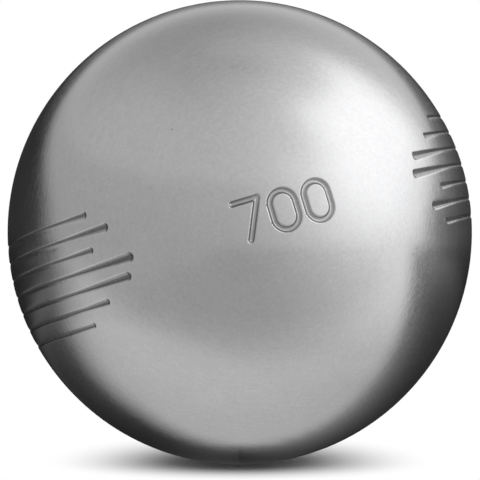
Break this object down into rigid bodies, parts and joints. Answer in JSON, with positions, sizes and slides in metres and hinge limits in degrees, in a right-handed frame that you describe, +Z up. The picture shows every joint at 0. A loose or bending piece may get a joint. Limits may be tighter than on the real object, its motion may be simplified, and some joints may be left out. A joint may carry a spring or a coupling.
{
  "type": "petanque boule",
  "caption": "Hollow steel throwing ball made of two welded half shells, with bands of tapered grip grooves round both sides.",
  "frame": {"origin": "centre of the ball", "axes": "+Z up as the ball lies on the ground, +Y away from the viewer of the picture, +X to the viewer's right; the two bands of grooves run round an axis that leans 17 degrees from +Z towards -X, and the middle of the ball's front points 14 degrees off -Y, up and to the right"},
  "size_m": [0.074, 0.074, 0.074],
  "materials": {
    "shell_steel": "stainless steel polished to a soft satin, with fine random polishing marks",
    "weld_metal": "stainless weld metal, polished flush with the shells outside and left as welded inside"
  },
  "bodies": {
    "root": {"front_shell": "shell_steel", "rear_shell": "shell_steel", "weld_seam": "weld_metal"}
  },
  "joints": []
}
